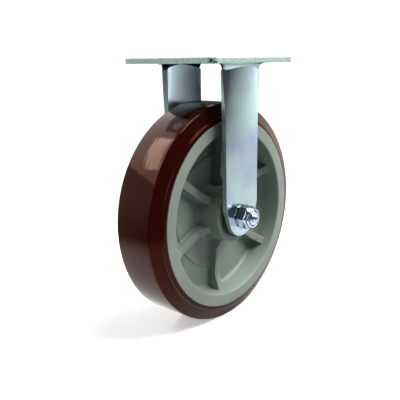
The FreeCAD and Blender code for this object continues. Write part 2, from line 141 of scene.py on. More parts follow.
# %% Mixes, soft steps and noise
def blend(tree, factor, a, b):
    """Mix of two colours; the colour sockets of a Mix node have the numbers 6 and 7."""
    return node(tree, "Mix", {0: factor, 6: a, 7: b}, data_type="RGBA").outputs[2]


def ramp(tree, value, low, high, out_low=0.0, out_high=1.0):
    """Smooth step of a value from low to high."""
    made = node(tree, "MapRange", {"Value": value, "From Min": low, "From Max": high,
                                   "To Min": out_low, "To Max": out_high},
                interpolation_type="SMOOTHSTEP")
    return made.outputs["Result"]


def clouds(tree, place, scale, detail, roughness=0.5):
    """Outputs Fac and Color of a noise that drifts round one half."""
    return node(tree, "TexNoise", {"Vector": place, "Scale": scale, "Detail": detail,
                                   "Roughness": roughness}).outputs


# %% Open a material, and close it
def new_material(name, **fixed):
    """A material with a Principled shader whose constant sockets are set here."""
    material = bpy.data.materials.new(name)
    material.use_nodes = True
    tree = material.node_tree
    shader = tree.nodes["Principled BSDF"]
    for socket, value in fixed.items():
        shader.inputs[socket.replace("_", " ")].default_value = value
    return material, tree, shader


def dress(tree, shader, colour, roughness, height, strength, distance):
    """Join colour, roughness and a bump made from a height to the shader."""
    relief = node(tree, "Bump", {"Height": height, "Strength": strength, "Distance": distance})
    tree.links.new(colour, shader.inputs["Base Color"])
    tree.links.new(roughness, shader.inputs["Roughness"])
    tree.links.new(relief.outputs[0], shader.inputs["Normal"])


def linear(red, green, blue):
    """A colour as seen on screen, 0 to 255, as the linear colour that a shader wants."""
    return (*((c / 255 / 12.92) if c <= 10 else ((c / 255 + 0.055) / 1.055) ** 2.4
              for c in (red, green, blue)), 1)


# %% [markdown]
# ## Effects that several finishes share
# Plated steel, moulded plastic and cast tread all show fine grain, slow colour drift and a little
# dust, and each also gets painted shade that darkens its corners. Each effect is built once as a
# node group with named sockets, and every material places it with values of its own. The groups
# only put out colours, masks and heights, so the shader itself stays in the material where it can
# be tuned.

# %% Make a node group, and place it
def new_group(name, inputs, outputs):
    """A shader group; each socket is (name, kind, default) and kind is Float, Color or Vector."""
    group = bpy.data.node_groups.new(name, "ShaderNodeTree")
    for label, kind, default in inputs:
        socket = group.interface.new_socket(label, in_out="INPUT", socket_type="NodeSocket" + kind)
        if default is not None:
            socket.default_value = default
    for label, kind in outputs:
        group.interface.new_socket(label, in_out="OUTPUT", socket_type="NodeSocket" + kind)
    source = group.nodes.new("NodeGroupInput")
    sink = group.nodes.new("NodeGroupOutput")
    return group, source.outputs, sink.inputs


def place_group(tree, group, sockets):
    made = tree.nodes.new("ShaderNodeGroup")
    made.node_tree = group
    for key, value in sockets.items():
        feed(tree, made.inputs[key], value)
    return made.outputs


# %% Fine grain that can be stretched into brush or rolling lines
grain, given, result = new_group(
    "surface_grain",
    [("Position", "Vector", None), ("Stretch", "Vector", (1, 1, 1)), ("Scale", "Float", 1500.0),
     ("Patch Scale", "Float", 40.0)],
    [("Grain", "Float"), ("Patches", "Float")])
stretched = node(grain, "VectorMath", {0: given["Position"], 1: given["Stretch"]},
                 operation="MULTIPLY")
fine = clouds(grain, stretched.outputs[0], given["Scale"], 3.0, 0.65)["Fac"]
slow = clouds(grain, given["Position"], given["Patch Scale"], 4.0, 0.55)["Fac"]
grain.links.new(fine, result["Grain"])
grain.links.new(ramp(grain, slow, 0.32, 0.68), result["Patches"])
print("node group:", grain.name)

# %% Colour that drifts between three tints
drift, given, result = new_group(
    "tint_drift",
    [("Position", "Vector", None), ("Scale", "Float", 30.0), ("Base", "Color", (0.5, 0.5, 0.5, 1)),
     ("Tint A", "Color", (0.5, 0.5, 0.5, 1)), ("Tint B", "Color", (0.5, 0.5, 0.5, 1)),
     ("Amount", "Float", 0.5)],
    [("Colour", "Color")])
wide = clouds(drift, given["Position"], given["Scale"], 3.0)["Color"]
channels = node(drift, "SeparateColor", {0: wide}).outputs
first = times(drift, ramp(drift, channels[0], 0.35, 0.65), given["Amount"])
second = times(drift, ramp(drift, channels[1], 0.4, 0.7), given["Amount"])
tinted = blend(drift, first, given["Base"], given["Tint A"])
drift.links.new(blend(drift, second, tinted, given["Tint B"]), result["Colour"])
print("node group:", drift.name)

# %% Dust, and painted shade that darkens corners
dust_and_shade, given, result = new_group(
    "corner_dust_and_shade",
    [("Position", "Vector", None), ("Colour", "Color", (0.5, 0.5, 0.5, 1)),
     ("Shade And Dust", "Color", (0.05, 0.05, 0.05, 1)), ("Reach", "Float", 0.004),
     ("Amount", "Float", 0.5), ("Specks", "Float", 0.0)],
    [("Colour", "Color")])
# Occlusion darkens corners and creases: this is painted shade. The noise specks on it are dust.
open_sky = node(dust_and_shade, "AmbientOcclusion", {"Distance": given["Reach"]}, samples=6).outputs["AO"]
closed = maths(dust_and_shade, "SUBTRACT", 1.0, open_sky, clamp=True)
dust = clouds(dust_and_shade, given["Position"], 900.0, 3.0, 0.6)["Fac"]
dotted = times(dust_and_shade, ramp(dust_and_shade, dust, 0.5, 0.62), given["Specks"])
gaps = plus(dust_and_shade, dotted, minus(dust_and_shade, 1.0, given["Specks"]))
mask = times(dust_and_shade, times(dust_and_shade, ramp(dust_and_shade, closed, 0.2, 0.75), gaps), given["Amount"])
dust_and_shade.links.new(blend(dust_and_shade, mask, given["Colour"], given["Shade And Dust"]), result["Colour"])
print("node group:", dust_and_shade.name)

# %% A sheared edge: a thin smooth band where the blade went in, torn and mottled metal below it
shear, given, result = new_group(
    "sheared_edge",
    [("Position", "Vector", None), ("Depth", "Float", 0.5), ("Cut", "Float", 0.0),
     ("Tear Start", "Float", 0.4), ("Scale", "Float", 900.0)],
    [("Torn", "Float"), ("Specks", "Float"), ("Mottle", "Float"), ("Height", "Float")])
wander = times(shear, clouds(shear, given["Position"], 160.0, 2.0)["Fac"], 0.5)
line = plus(shear, plus(shear, given["Depth"], wander), 0.25)
below_line = ramp(shear, minus(shear, line, given["Tear Start"]), 0.0, 0.12)
torn = times(shear, below_line, given["Cut"])
rough = clouds(shear, given["Position"], given["Scale"], 4.0, 0.7)["Fac"]
mottle = clouds(shear, given["Position"], 620.0, 3.0, 0.7)["Fac"]
shear.links.new(torn, result["Torn"])
shear.links.new(times(shear, ramp(shear, rough, 0.6, 0.7), torn), result["Specks"])
shear.links.new(times(shear, ramp(shear, mottle, 0.5, 0.62), given["Cut"]), result["Mottle"])
shear.links.new(times(shear, rough, torn), result["Height"])
print("node group:", shear.name)

# %% [markdown]
# ## Bright zinc plate
# Clear zinc is nearly a mirror that has been misted: a pale metal with a drift of violet, blue
# and green, fine rolling lines along the strip and a soft grain. One builder makes it for each
# piece, because the plate, the legs, the welds and the turned parts differ only in how coarse
# and how cut they are. What only a sheet or only the plate has sits in a function of its own.

# %% Marks on cut sheet
def torn_edge(tree, place, cut, colour, roughness, height):
    """Tear a sheet's sides; cut gives the axis through the sheet and its two faces on it."""
    axis, low, high = cut
    spot = node(tree, "SeparateXYZ", {0: place}).outputs[axis]
    if axis == 1:
        spot = maths(tree, "ABSOLUTE", spot)
    depth = node(tree, "MapRange", {"Value": spot, "From Min": low, "From Max": high})
    normal = node(tree, "TexCoord").outputs["Normal"]
    facing = node(tree, "SeparateXYZ", {0: normal}).outputs[axis]
    on_cut = ramp(tree, maths(tree, "ABSOLUTE", facing), 0.75, 0.45)
    edge = place_group(tree, shear, {"Position": place, "Depth": depth.outputs["Result"],
                                     "Cut": on_cut, "Tear Start": 0.45, "Scale": 1100.0})
    for mark, share, shade in (("Torn", 0.5, linear(172, 190, 176)),
                               ("Specks", 0.85, linear(88, 100, 94)),
                               ("Mottle", 0.4, linear(120, 140, 140))):
        colour = blend(tree, times(tree, edge[mark], share), colour, shade)
    roughness = plus(tree, roughness, times(tree, edge["Torn"], 0.22))
    height = plus(tree, height, times(tree, edge["Height"], 3.0))
    return colour, roughness, height


def dented(tree, place, spot, colour, height):
    """Add one dark ragged dent, about four millimetres in reach, at a spot."""
    away = node(tree, "VectorMath", {0: place, 1: spot}, operation="DISTANCE").outputs["Value"]
    ragged = clouds(tree, place, 700.0, 2.0)["Fac"]
    dent = times(tree, ramp(tree, away, 0.0042, 0.0026), ramp(tree, ragged, 0.5, 0.54))
    colour = blend(tree, dent, colour, linear(22, 24, 24))
    return colour, minus(tree, height, times(tree, dent, 4.0))


# %% Zinc plated steel
def zinc(name, base, violet, green, amount, rough, along=(1, 1, 1), bump=0.08, specks=0.6,
         cut=None, dent_at=None):
    """Zinc of a base colour that drifts by amount to two tints, with lines along the piece."""
    material, tree, shader = new_material(name, Metallic=1.0)
    place = node(tree, "TexCoord").outputs["Object"]
    tint = place_group(tree, drift, {"Position": place, "Scale": 22.0, "Base": base,
                                     "Tint A": violet, "Tint B": green, "Amount": amount})
    lines = place_group(tree, grain, {"Position": place, "Stretch": along, "Scale": 1400.0,
                                      "Patch Scale": 55.0})
    colour, height = tint["Colour"], times(tree, lines["Grain"], 0.35)
    roughness = plus(tree, times(tree, lines["Patches"], 0.08), rough)
    roughness = plus(tree, roughness, times(tree, lines["Grain"], 0.04))
    if cut:
        colour, roughness, height = torn_edge(tree, place, cut, colour, roughness, height)
    if dent_at:
        colour, height = dented(tree, place, dent_at, colour, height)
    # Dust, and painted shade that darkens the corners, from the occlusion group.
    zinc_dusted_and_shaded = place_group(tree, dust_and_shade, {"Position": place, "Colour": colour,
                                      "Shade And Dust": linear(40, 42, 42), "Reach": 0.004,
                                      "Amount": 0.85, "Specks": specks})
    dress(tree, shader, zinc_dusted_and_shaded["Colour"], roughness, height, bump, 0.0004)
    return material


# %% Zinc for each kind of piece
plate_low, plate_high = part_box("mounting_plate")
leg_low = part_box("far_leg")[0]
near_corner = (plate_low.x + 0.0022, plate_low.y + 0.001, plate_low.z + 0.0022)
violet, green = linear(170, 176, 206), linear(188, 218, 212)
plate_zinc = zinc("zinc_on_plate", linear(204, 222, 220), linear(190, 204, 212),
                  linear(196, 220, 200), 0.6, 0.34, along=(1, 0.1, 0.1), bump=0.2,
                  cut=(2, plate_high.z, plate_low.z), dent_at=near_corner)
leg_zinc = zinc("zinc_on_legs", linear(194, 214, 220), violet, green, 0.8, 0.16,
                along=(1, 1, 0.05), bump=0.07, cut=(1, leg_low.y, leg_low.y + 4.6 * MM))
weld_zinc = zinc("zinc_on_welds", linear(196, 218, 220), linear(180, 194, 208), green,
                 0.8, 0.26, bump=0.35, specks=0.9)
# Near-black zinc for the inner beads: painted shade under the plate and between the legs.
weld_shade_zinc = zinc("zinc_painted_shade_in_weld_roots", linear(30, 32, 33), linear(24, 25, 30),
                 linear(38, 42, 40), 0.8, 0.6, bump=0.4, specks=0.3)
hardware_zinc = zinc("zinc_on_hardware", linear(214, 224, 238), linear(176, 184, 232),
                     linear(210, 222, 222), 0.5, 0.07, bump=0.02)
print("zinc finishes:", [m.name for m in bpy.data.materials])

# %% [markdown]
# ## Cast polyurethane
# The tread is poured into a polished mould and comes out glossy, with slow ripples round its band
# from the cure. A dark maroon base gives the deep colour. A clear coat could give the gloss, but
# the real reflections are brownish, so the surface mirrors by itself with a warm tint, and a
# noise stretched round the band bends the mirrored boxes into streaks.

# %% Maroon tread
tread_skin, tree, shader = new_material("maroon_polyurethane", Metallic=0.0, IOR=1.48,
                                        Specular_IOR_Level=0.4, Specular_Tint=(1, 0.5, 0.32, 1))
place = node(tree, "TexCoord").outputs["Object"]
tint = place_group(tree, drift, {"Position": place, "Scale": 16.0, "Base": linear(54, 14, 7),
                                 "Tint A": linear(46, 11, 5), "Tint B": linear(64, 20, 10),
                                 "Amount": 0.5})
marks = place_group(tree, grain, {"Position": place, "Stretch": (1, 1, 1), "Scale": 900.0,
                                  "Patch Scale": 30.0})
# Dust, and painted shade that darkens the corners, from the occlusion group.
dusted_and_shaded = place_group(tree, dust_and_shade, {"Position": place, "Colour": tint["Colour"],
                                  "Shade And Dust": linear(26, 12, 10), "Reach": 0.003, "Amount": 0.6})
gloss = plus(tree, times(tree, marks["Patches"], 0.04), 0.07)
hoops = node(tree, "VectorMath", {0: place, 1: (0.16, 1, 0.16)}, operation="MULTIPLY")
cure = clouds(tree, hoops.outputs[0], 150.0, 2.0)["Fac"]
ripple = plus(tree, cure, times(tree, marks["Grain"], 0.02))
dress(tree, shader, dusted_and_shaded["Colour"], gloss, ripple, 0.3, 0.0005)
print("tread finish:", tread_skin.name)

# %% [markdown]
# ## Moulded plastics and ground steel
# The core is a grey polyolefin with the soft bloom of an injection mould, a little paler where
# the melt met the wall. The washers, the roller cage and the nut's locking ring are plain
# engineering plastics, so one builder makes all four with their own colours. The bearing's ground
# steel is near enough to smooth plating that the zinc builder makes it.

# %% Moulded plastic
def plastic(name, base, pale_tint, dark_tint, rough):
    material, tree, shader = new_material(name, Metallic=0.0, IOR=1.49)
    place = node(tree, "TexCoord").outputs["Object"]
    tint = place_group(tree, drift, {"Position": place, "Scale": 18.0, "Base": base,
                                     "Tint A": pale_tint, "Tint B": dark_tint, "Amount": 0.6})
    skin = place_group(tree, grain, {"Position": place, "Stretch": (1, 1, 1), "Scale": 1800.0,
                                     "Patch Scale": 26.0})
    # Dust, and painted shade that darkens the corners, from the occlusion group.
    dusted_and_shaded = place_group(tree, dust_and_shade, {"Position": place, "Colour": tint["Colour"],
                                      "Shade And Dust": dark_tint, "Reach": 0.005, "Amount": 0.5})
    sheen = plus(tree, times(tree, skin["Patches"], 0.08), rough)
    dress(tree, shader, dusted_and_shaded["Colour"], sheen, skin["Grain"], 0.12, 0.0002)
    return material


core_plastic = plastic("grey_polyolefin", linear(138, 148, 140), linear(146, 156, 148),
                       linear(122, 132, 124), 0.42)
# Near black: partly the washers' own colour, partly painted shade in the gap beside the hub.
washer_plastic_and_gap_shade = plastic("black_washer_and_gap_shade", linear(26, 26, 27), linear(32, 32, 33),
                         linear(16, 16, 17), 0.45)
cage_plastic = plastic("cream_cage", linear(216, 210, 192), linear(222, 218, 202),
                       linear(190, 182, 160), 0.4)
ring_plastic = plastic("blue_locking_ring", linear(34, 48, 92), linear(40, 56, 104),
                       linear(24, 32, 64), 0.35)
bearing_steel = zinc("ground_steel", linear(190, 192, 194), linear(180, 182, 188),
                     linear(196, 196, 192), 0.4, 0.16, along=(0.1, 1, 0.1), bump=0.03)
print("all finishes:", len(bpy.data.materials))

# %% [markdown]
# ## Making round things
# Tread, core, washers, nut and fitting are all turned shapes: a section spun round the axle. A
# screw modifier could spin it, but code that lays the rings down can also ease each corner of
# the section to its own radius, and squeeze a round ring into a hexagon, which makes a nut with
# true chamfers from the same function.

# %% Round the corners of a section
def rounded(corners, closed=False, steps=5):
    """Section points from corners (radius, place, easing), with an arc at each eased corner."""
    points = []
    for i, corner in enumerate(corners):
        here = Vector(corner[:2])
        inside = closed or 0 < i < len(corners) - 1
        if len(corner) < 3 or not inside:
            points.append(here)
            continue
        before = (Vector(corners[i - 1][:2]) - here).normalized()
        after = (Vector(corners[(i + 1) % len(corners)][:2]) - here).normalized()
        half = before.angle(after) / 2
        middle = here + (before + after).normalized() * (corner[2] / math.sin(half))
        first = here + before * (corner[2] / math.tan(half)) - middle
        last = here + after * (corner[2] / math.tan(half)) - middle
        sweep = first.angle_signed(last)
        for k in range(steps + 1):
            points.append(middle + Matrix.Rotation(-sweep * k / steps, 2) @ first)
    return [(p.x, p.y) for p in points]


# %% From points to a piece
def closed_mesh(name, points, faces, merge=True):
    """A mesh from points in millimetres, with its faces turned outwards."""
    mesh = bpy.data.meshes.new(name)
    mesh.from_pydata([Vector(p) * MM for p in points], [], faces)
    work = bmesh.new()
    work.from_mesh(mesh)
    if merge:
        bmesh.ops.remove_doubles(work, verts=work.verts, dist=1e-6)
        bmesh.ops.dissolve_degenerate(work, edges=work.edges, dist=1e-7)
    bmesh.ops.recalc_face_normals(work, faces=work.faces)
    work.to_mesh(mesh)
    work.free()
    return mesh


def add_piece(name, mesh, body, material):
    """A new piece of the castor, riding on one of its bodies."""
    mesh.materials.append(material)
    piece = bpy.data.objects.new(name, mesh)
    bpy.context.scene.collection.objects.link(piece)
    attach(piece, body)
    return piece


def mesh_piece(name, points, faces, body, material, sharp=40):
    """A new piece from points and faces, smooth but for edges sharper than an angle."""
    mesh = closed_mesh(name, points, faces)
    mesh.shade_smooth()
    mesh.set_sharp_from_angle(angle=math.radians(sharp))
    return add_piece(name, mesh, body, material)


def report(piece):
    print(f"{piece.name}: {len(piece.data.polygons)} faces")


# %% Spin a section round the axle
axle = axle_z / MM


def spun(section, count=192, closed=True, squeeze=None):
    """Points and faces of a section (radius, place) spun round the axle, in millimetres."""
    points, faces = [], []
    for k in range(count):
        turn = 2 * math.pi * k / count
        for radius, place in section:
            r = squeeze(radius, turn) if squeeze else radius
            points.append((r * math.cos(turn), place, r * math.sin(turn) + axle))
    size = len(section)
    for k in range(count):
        for i in range(size if closed else size - 1):
            j = (i + 1) % size
            n = (k + 1) % count
            faces.append((k * size + i, k * size + j, n * size + j, n * size + i))
    if not closed:
        faces.append([k * size for k in range(count)])
        faces.append([k * size + size - 1 for k in range(count)])
    return points, faces


# %% [markdown]
# ## The tread
# The real tread is a flat band between two bevels, with a narrow lip that stands a step proud
# beside the core. The thin bright lines along shoulder and lip are rounded corners catching the
# light, so each corner gets an arc of its own and stays crisp.

# %% Turn the tread
# Corners from the key in the core outwards: seat, lip, step and shoulder.
half_section = [(84.9, 7), (87.4, 7), (87.4, 24.8, 0.3), (91.0, 24.0, 0.7), (91.5, 22.7, 0.35),
                (101.6, 18.6, 1.3)]
whole_section = half_section + [(r, -y, *ease) for r, y, *ease in reversed(half_section)]
points, faces = spun(rounded(whole_section, closed=True, steps=6), count=360)
tread = mesh_piece("tyre_tread", points, faces, "wheel", tread_skin)
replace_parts(tread, "tread")
report(tread)

# %% [markdown]
# ## The core
# Hub, web, rim and ribs are one moulding. Six separate ribs pushed through a spun disc would
# leave hard seams, where the real ribs flow into the web. So each side of the core is laid out
# as one height map on rings and spokes: the height at a spot is that of the disc or of a rib,
# and extra spokes run along each rib to carry its fillets, its walls and its eased top.

# %% The disc's section and the ribs' height
HUB, WEB, DISC, RIM = 28.0, 3.5, 4.1, 25.4
disc_section = rounded([
    (15.2, 0), (15.2, HUB, 0.4), (25.2, HUB, 0.9), (26.6, DISC, 4.0), (54.1, DISC, 0.25),
    (54.4, WEB, 0.25), (75.3, WEB, 4.0), (76.2, RIM, 1.0), (87.4, RIM, 0.3), (87.4, 7), (84.9, 7),
    (84.9, 0)], steps=6)


def split_long_runs(section, longest=2.4):
    """Add points on long straight runs, so that the ribs bend where they should."""
    finer = [section[0]]
    for start, end in zip(section, section[1:]):
        parts = max(1, math.ceil(math.dist(start, end) / longest))
        for k in range(1, parts + 1):
            finer.append(tuple(a + (b - a) * k / parts for a, b in zip(start, end)))
    return finer


def rib_top(radius):
    """Height of a rib's top above the mid-plane: high at the hub and at the rim, low between."""
    stops = [(0, 16.9), (25.85, 16.9), (36.6, 10.3), (61.8, 10.3), (75.83, 16.5), (90, 16.5)]
    for (r0, h0), (r1, h1) in zip(stops, stops[1:]):
        if radius <= r1:
            return h0 + (h1 - h0) * (radius - r0) / (r1 - r0)


print("section of the disc:", len(disc_section), "points")

# %% Spokes across one rib and the open sector beside it
RIBS, FIRST_RIB = 6, 24.5             # ribs a side, and the turn of the first in degrees
RIB_HALF, RIB_FOOT, RIB_EASE = 3.7, 1.2, 0.3
SECTOR_SPOKES = 18
HUB_WALL, RIM_FACE = 24, 24           # no rib inside this radius or on faces above this height


def rib_spokes(height):
    """Half of a rib's cross-section as (distance from its middle, height above the disc)."""
    foot, crown = min(RIB_FOOT, height * 0.45), min(RIB_EASE, height * 0.3)
    spokes = [(RIB_HALF + 1.6, 0)]
    for k in range(5):
        turn = math.pi / 2 * k / 4
        spokes.append((RIB_HALF + foot * (1 - math.sin(turn)), foot * (1 - math.cos(turn))))
    for k in range(4):
        turn = math.pi / 2 * k / 3
        spokes.append((RIB_HALF - 0.01 * height - crown * (1 - math.cos(turn)),
                       height - crown * (1 - math.sin(turn))))
    return spokes + [(0, height)]


def core_ring(radius, height, side):
    """One ring of the core at a radius: heights on the spokes of six ribs and six sectors."""
    ribbed = radius > HUB_WALL and height < RIM_FACE
    spokes = rib_spokes(max(0.0, rib_top(radius) - height) if ribbed else 0.0)
    across = [(-d, h) for d, h in spokes] + [(d, h) for d, h in reversed(spokes[:-1])]
    reach = math.asin(spokes[0][0] / radius)
    span = 2 * math.pi / RIBS - 2 * reach
    ring = []
    for rib in range(RIBS):
        middle = math.radians(FIRST_RIB + 360 / RIBS * rib)
        ring += [(middle + math.asin(d / radius), height + h) for d, h in across]
        ring += [(middle + reach + span * k / (SECTOR_SPOKES + 1), height)
                 for k in range(1, SECTOR_SPOKES + 1)]
    return [(radius * math.cos(a), side * h, radius * math.sin(a) + axle) for a, h in ring]


# %% Join the rings of both sides
near_rings = [core_ring(r, h, -1) for r, h in split_long_runs(disc_section)]
far_rings = [core_ring(r, h, 1) for r, h in split_long_runs(disc_section)]
rings = near_rings + far_rings[-2:0:-1]
points = [p for ring in rings for p in ring]
size = len(rings[0])
faces = []
for i in range(len(rings)):
    below, above = i * size, (i + 1) % len(rings) * size
    for k in range(size):
        n = (k + 1) % size
        faces.append((below + k, below + n, above + n, above + k))
core = mesh_piece("ribbed_core", points, faces, "wheel", core_plastic, sharp=55)
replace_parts(core, "wheel_core")
report(core)

# %% [markdown]
# ## Sheet metal
# Plate and legs are cut from sheet, so they start as a flat outline. The outline becomes one
# face, parallel cuts turn it into a grid that can bend, an extrusion gives it its thickness, and
# a bevel eases its edges. A solidify modifier would do much the same, but here each point also
# knows how deep in the sheet it lies, which lets one function bow the leg.

# %% Cut, thicken and bend a sheet
def sheet_piece(name, outline, columns, rows, bend, easing, body, material):
    """A sheet from an outline in (u, v), cut at columns and rows, with points bend(u, v, depth)."""
    work = bmesh.new()
    work.faces.new([work.verts.new((u, v, 0)) for u, v in outline])
    for axis, cuts in (((1, 0, 0), columns), ((0, 1, 0), rows)):
        for cut in cuts:
            everything = work.verts[:] + work.edges[:] + work.faces[:]
            bmesh.ops.bisect_plane(work, geom=everything, plane_co=Vector(axis) * cut,
                                   plane_no=axis, dist=1e-4)
    lower = work.verts[:]
    raised = bmesh.ops.extrude_face_region(work, geom=work.faces[:])["geom"]
    upper = [v for v in raised if isinstance(v, bmesh.types.BMVert)]
    for depth, layer in ((0, lower), (1, upper)):
        for vert in layer:
            vert.co = bend(vert.co.x, vert.co.y, depth) * MM
    bmesh.ops.recalc_face_normals(work, faces=work.faces)
    rim = [e for e in work.edges if len(e.link_faces) == 2 and e.calc_face_angle() > 1.0]
    bmesh.ops.bevel(work, geom=rim, offset=easing * MM, segments=3, profile=0.5, affect="EDGES",
                    clamp_overlap=True)
    mesh = bpy.data.meshes.new(name)
    work.to_mesh(mesh)
    work.free()
    mesh.shade_smooth()
    return add_piece(name, mesh, body, material)


def spread(low, high, step):
    """Even places between two ends, without the ends."""
    count = max(1, round((high - low) / step))
    return [low + (high - low) * k / count for k in range(1, count)]


# %% Punch a sheet, and shade it
def cut_away(piece, name, points, faces):
    """Take a closed tool, given in millimetres, out of a piece."""
    tool = bpy.data.objects.new(name, closed_mesh(name, points, faces, merge=False))
    bpy.context.scene.collection.objects.link(tool)
    bite = piece.modifiers.new("cut", "BOOLEAN")
    bite.operation, bite.solver, bite.object = "DIFFERENCE", "EXACT", tool
    shaped = piece.evaluated_get(bpy.context.evaluated_depsgraph_get())
    piece_mesh = bpy.data.meshes.new_from_object(shaped)
    piece.modifiers.clear()
    piece.data = piece_mesh
    bpy.data.objects.remove(tool)


def even_light(piece, sharp):
    """Smooth shading that keeps flat faces flat."""
    piece.data.shade_smooth()
    piece.data.set_sharp_from_angle(angle=math.radians(sharp))
    weighted = piece.modifiers.new("even light", "WEIGHTED_NORMAL")
    weighted.keep_sharp = True
    report(piece)


# %% [markdown]
# ## The mounting plate
# The plate is sheared from strip with rounded corners, and its four slots are punched. Its edge is
# all that the photograph shows, so the edge gets the care: eased corners, and the band of torn
# metal that the zinc finish adds.

# %% Shape the plate
PLATE, CORNER = 4.8, 6                # thickness, and radius of the corners
SLOT_X, SLOT_Y = 42.05, 35.7          # middles of the slots
SLOT_RADIUS, SLOT_RUN = 5.15, 4       # half width, and half the distance between the arcs


def arc(x, y, radius, start, sweep, steps):
    """Points of an arc round (x, y), with its start and sweep in degrees."""
    turns = [math.radians(start + sweep * k / steps) for k in range(steps + 1)]
    return [(x + radius * math.cos(a), y + radius * math.sin(a)) for a in turns]


inset_x, inset_y = plate_high.x / MM - CORNER, plate_high.y / MM - CORNER
plate_outline = (arc(inset_x, inset_y, CORNER, 0, 90, 6) + arc(-inset_x, inset_y, CORNER, 90, 90, 6)
                 + arc(-inset_x, -inset_y, CORNER, 180, 90, 6)
                 + arc(inset_x, -inset_y, CORNER, 270, 90, 6))
plate = sheet_piece("top_plate", plate_outline, [], [],
                    lambda u, v, depth: Vector((u, v, -PLATE * depth)),
                    0.55, "fork", plate_zinc)
for x in (-SLOT_X, SLOT_X):
    for y in (-SLOT_Y, SLOT_Y):
        ends = (arc(x + SLOT_RUN, y, SLOT_RADIUS, -90, 180, 12)
                + arc(x - SLOT_RUN, y, SLOT_RADIUS, 90, 180, 12))
        points = [(u, v, z) for z in (-PLATE - 1.2, 1) for u, v in ends]
        count = len(ends)
        faces = [list(range(count)), list(range(count, 2 * count))]
        faces += [(k, (k + 1) % count, (k + 1) % count + count, k + count) for k in range(count)]
        cut_away(plate, "slot_punch", points, faces)
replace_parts(plate, "mounting_plate")
even_light(plate, 30)

# %% [markdown]
# ## The legs
# Each leg is a strip pressed into a shallow bow at the top, which stiffens it, and left flat
# around the axle. Its foot tapers into a round. The press also turns its two margins back a
# little at the top, which shows as a dark stripe beside the edge. Both fade out on the way down,
# so one function gives how far the sheet stands out at any place, and the mesh follows it.

# %% The bow of a leg
HALF, INSIDE, SHEET = 22.9, 30.95, 4.76   # half width, distance from the mid-plane, thickness
CROWN, CROWN_FROM, CROWN_TO = 2.3, axle + 22, -6      # bow of the middle, and where it grows
MARGIN, MARGIN_FROM, MARGIN_TO = 1.5, -52, -8         # turn of the margins, and where it grows


def eased(share):
    share = min(1.0, max(0.0, share))
    return share * share * (3 - 2 * share)


def bow(across, height):
    """How far the sheet stands out of its flat plane, and its slope, at a place on the strip."""
    share = across / HALF
    crown = CROWN * eased((height - CROWN_FROM) / (CROWN_TO - CROWN_FROM))
    margin = MARGIN * eased((height - MARGIN_FROM) / (MARGIN_TO - MARGIN_FROM))
    out = crown * (1 - share ** 2) + margin * (0.8 - share ** 8)
    slope = (2 * crown * share + 8 * margin * share ** 7) / HALF
    return out, slope


def on_leg(side, across, height, depth):
    """Where a place on the flat strip, at a depth in the sheet, goes on the leg of one side."""
    out, slope = bow(across, height)
    square = SHEET * depth / math.hypot(1, slope)
    return Vector((-side * (across + square * slope), side * (INSIDE + out + square), height))


print("bow at the plate:", [round(bow(x, -PLATE)[0], 2) for x in (0, 11, HALF)])

# %% Press, drill and seat the legs
FOOT, TAPER = 18.4, 10                # radius of the foot; the taper starts this far above it
CLIP_X, CLIP_Z = 17.4, -10.4          # where the clipped top corner starts and ends
SEAT, SEAT_DEPTH, AXLE_HOLE = 12, 0.35, 6.5


def leg_outline():
    """Strip with two clipped top corners and a round foot, in (across, height)."""
    touch = math.atan2(TAPER, HALF) - math.acos(FOOT / math.hypot(HALF, TAPER))
    foot = [(FOOT * math.cos(a), axle + FOOT * math.sin(a))
            for a in (-math.pi / 2 + (touch + math.pi / 2) * k / 16 for k in range(17))]
    right_side = foot + [(HALF, axle + TAPER), (HALF, CLIP_Z), (CLIP_X, -PLATE)]
    return right_side + [(-x, z) for x, z in reversed(right_side)][:-1]


columns = spread(-17, 17, 2.4)
columns += [s * x for s in (-1, 1) for x in (17, 18, 19, 20, 20.8, 21.5, 22.1)]
rows = spread(axle + TAPER, CLIP_Z, 4.2) + [CROWN_FROM, axle + TAPER, CLIP_Z, -18.8]
for label, side in (("near", -1), ("far", 1)):
    leg = sheet_piece(f"{label}_bowed_leg", leg_outline(), columns, rows,
                      lambda u, v, depth: on_leg(side, u, v, depth), 0.7, "fork",
                      leg_zinc)
    seat = side * (INSIDE + SHEET - SEAT_DEPTH)
    points, faces = spun([(0.001, seat), (SEAT, seat), (SEAT + 0.3, seat + side * 4),
                          (0.001, seat + side * 4)], count=96, closed=False)
    cut_away(leg, "seat_tool", points, faces)
    points, faces = spun([(0.001, side * 29), (AXLE_HOLE, side * 29), (AXLE_HOLE, side * 38),
                          (0.001, side * 38)], count=48, closed=False)
    cut_away(leg, "axle_drill", points, faces)
    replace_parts(leg, f"{label}_leg")
    even_light(leg, 35)

# %% [markdown]
# ## The weld beads
# A bead is laid in small puddles, each one overlapping the last, and it wets the plate and the
# leg with a wandering toe. A plain triangular strip would look like putty. So the bead is a
# hollow fillet swept along the bow, with scalloped steps along its length and its ends drawn down
# to nothing.

# %% Sweep a bead
def bead_section(side, face, outward, along, wide, tall, wobble, steps):
    """Points of the fillet from the leg to the plate, and one more inside the corner."""
    points = []
    for k in range(steps + 1):
        turn = k / steps
        belly = math.sin(math.pi * turn)
        puddle = ((along + 2.2 * belly) / 1.7) % 1.0
        swell = 0.32 * (1 - puddle) ** 1.5 + 0.12 * wobble
        lean = 1 - 0.42 * belly + swell * belly * 0.35
        reach = face + outward * (wide * turn * lean - 0.15 * (turn == 0))
        down = tall * (1 - turn) * lean
        points.append((side * reach, -PLATE - down + 0.1 * (turn == 1)))
    return points + [(side * (face - outward * 0.4), -PLATE + 0.1)]


